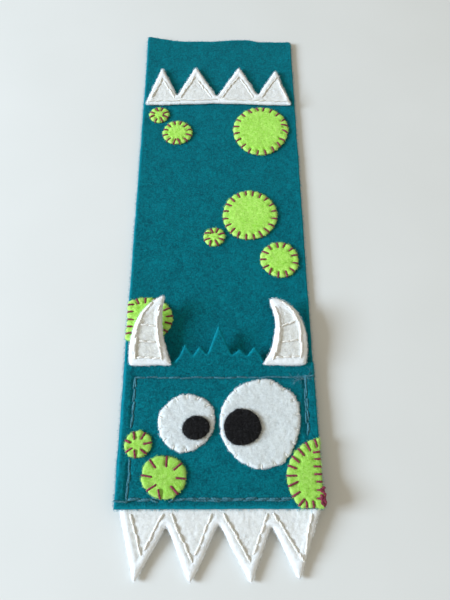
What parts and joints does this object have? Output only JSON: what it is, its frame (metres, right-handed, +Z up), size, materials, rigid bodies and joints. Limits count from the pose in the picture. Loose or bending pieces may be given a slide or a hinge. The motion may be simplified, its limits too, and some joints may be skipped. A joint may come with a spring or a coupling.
{
  "type": "felt monster puppet",
  "caption": "Fold-over felt monster puppet laid open flat: a strip with a sewn head panel, horns, fangs, a row of teeth and stitched spots.",
  "frame": {"origin": "middle of the open puppet's outline, on the surface that it lies on", "axes": "+Y along the strip from the head to the free far end, +Z up out of the decorated face, +X across the strip to the right of the face"},
  "size_m": [0.076, 0.2594, 0.0082],
  "materials": {
    "teal_felt": "matt craft felt",
    "white_felt": "matt craft felt",
    "lime_felt": "matt craft felt",
    "black_felt": "matt craft felt",
    "plum_thread": "stranded cotton",
    "cream_thread": "stranded cotton",
    "slate_thread": "stranded cotton",
    "black_thread": "stranded cotton"
  },
  "bodies": {
    "back": {"back_panel": "teal_felt", "mid_large_spot": "lime_felt", "mid_large_spot_stitches": "plum_thread", "mid_small_spot": "lime_felt", "mid_small_spot_stitches": "plum_thread", "mid_medium_spot": "lime_felt", "mid_medium_spot_stitches": "plum_thread", "horn_spot": "lime_felt", "horn_spot_stitches": "plum_thread"},
    "head": {"head_backing": "teal_felt", "head_panel": "teal_felt", "head_seam": "slate_thread", "left_eye": "white_felt", "left_eye_stitches": "cream_thread", "left_pupil": "black_felt", "left_pupil_stitches": "black_thread", "right_eye": "white_felt", "right_eye_stitches": "cream_thread", "right_pupil": "black_felt", "right_pupil_stitches": "black_thread", "fang_root": "white_felt", "cheek_small_spot": "lime_felt", "cheek_small_spot_stitches": "plum_thread", "cheek_medium_spot": "lime_felt", "cheek_medium_spot_stitches": "plum_thread", "corner_spot": "lime_felt", "corner_spot_stitches": "plum_thread"},
    "pocket": {"pocket_panel": "teal_felt", "tooth_row": "white_felt", "tooth_stitches": "cream_thread", "far_small_spot": "lime_felt", "far_small_spot_stitches": "plum_thread", "far_medium_spot": "lime_felt", "far_medium_spot_stitches": "plum_thread", "far_large_spot": "lime_felt", "far_large_spot_stitches": "plum_thread"},
    "left_horn": {"left_horn": "white_felt", "left_horn_stitches": "cream_thread"},
    "right_horn": {"right_horn": "white_felt", "right_horn_stitches": "cream_thread"},
    "fangs": {"fang_strip": "white_felt", "fang_stitches": "cream_thread"}
  },
  "joints": [
    {"name": "head_fold", "type": "hinge", "parent": "back", "child": "head", "pos_m": [0, -0.04975, -0.003], "axis": [1, 0, 0], "range_deg": [0, 180]},
    {"name": "pocket_fold", "type": "hinge", "parent": "back", "child": "pocket", "pos_m": [0, 0.04225, -0.00075], "axis": [-1, 0, 0], "range_deg": [0, 180]},
    {"name": "left_horn_flex", "type": "hinge", "parent": "head", "child": "left_horn", "pos_m": [-0.027, -0.05275, 0.003], "axis": [1, 0, 0], "range_deg": [0, 50], "stiffness_Nm_per_rad": 0.0002},
    {"name": "right_horn_flex", "type": "hinge", "parent": "head", "child": "right_horn", "pos_m": [0.026, -0.05275, 0.003], "axis": [1, 0, 0], "range_deg": [0, 50], "stiffness_Nm_per_rad": 0.0002},
    {"name": "fangs_flex", "type": "hinge", "parent": "head", "child": "fangs", "pos_m": [0, -0.10575, 0.0035], "axis": [-1, 0, 0], "range_deg": [0, 50], "stiffness_Nm_per_rad": 0.0002}
  ]
}
